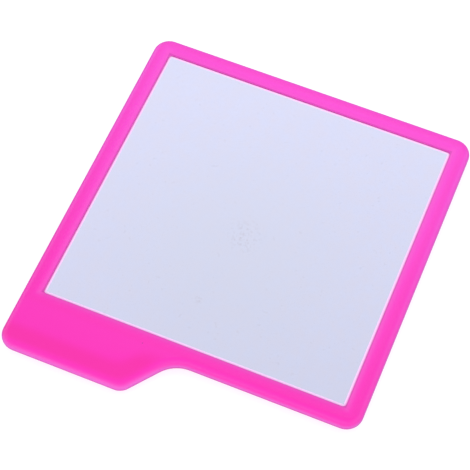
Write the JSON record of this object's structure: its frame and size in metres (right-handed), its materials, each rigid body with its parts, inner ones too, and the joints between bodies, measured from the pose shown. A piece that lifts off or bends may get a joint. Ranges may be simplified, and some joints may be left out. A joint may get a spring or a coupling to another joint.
{
  "type": "hand mirror",
  "caption": "Square salon hand mirror: a glass pane in a slim hot-pink plastic case with a rounded rim, and a short slanted grip at its lower left corner.",
  "frame": {"origin": "middle of the case's bounding box in plan, on the flat back that it rests on", "axes": "+Z out of the mirror face, +Y from the grip towards the top of the mirror, +X to the right as a viewer of the mirror sees it"},
  "size_m": [0.224, 0.251, 0.01],
  "materials": {
    "case": "smooth, softly glossy moulded plastic, hot pink",
    "mirror": "clear float glass, silvered behind, polished face",
    "silver": "bright silvered film",
    "paint": "matt grey protective paint",
    "foam": "white double-sided foam tape",
    "screw": "bright zinc-plated steel"
  },
  "bodies": {
    "root": {"front_frame": "case", "rear_cover": "case", "mirror_glass": "mirror", "silver_film": "silver", "backing_paint": "paint", "foam_tape_left": "foam", "foam_tape_right": "foam", "foam_tape_top": "foam", "foam_tape_bottom": "foam", "rim_screws": "screw", "grip_screws": "screw"}
  },
  "joints": []
}
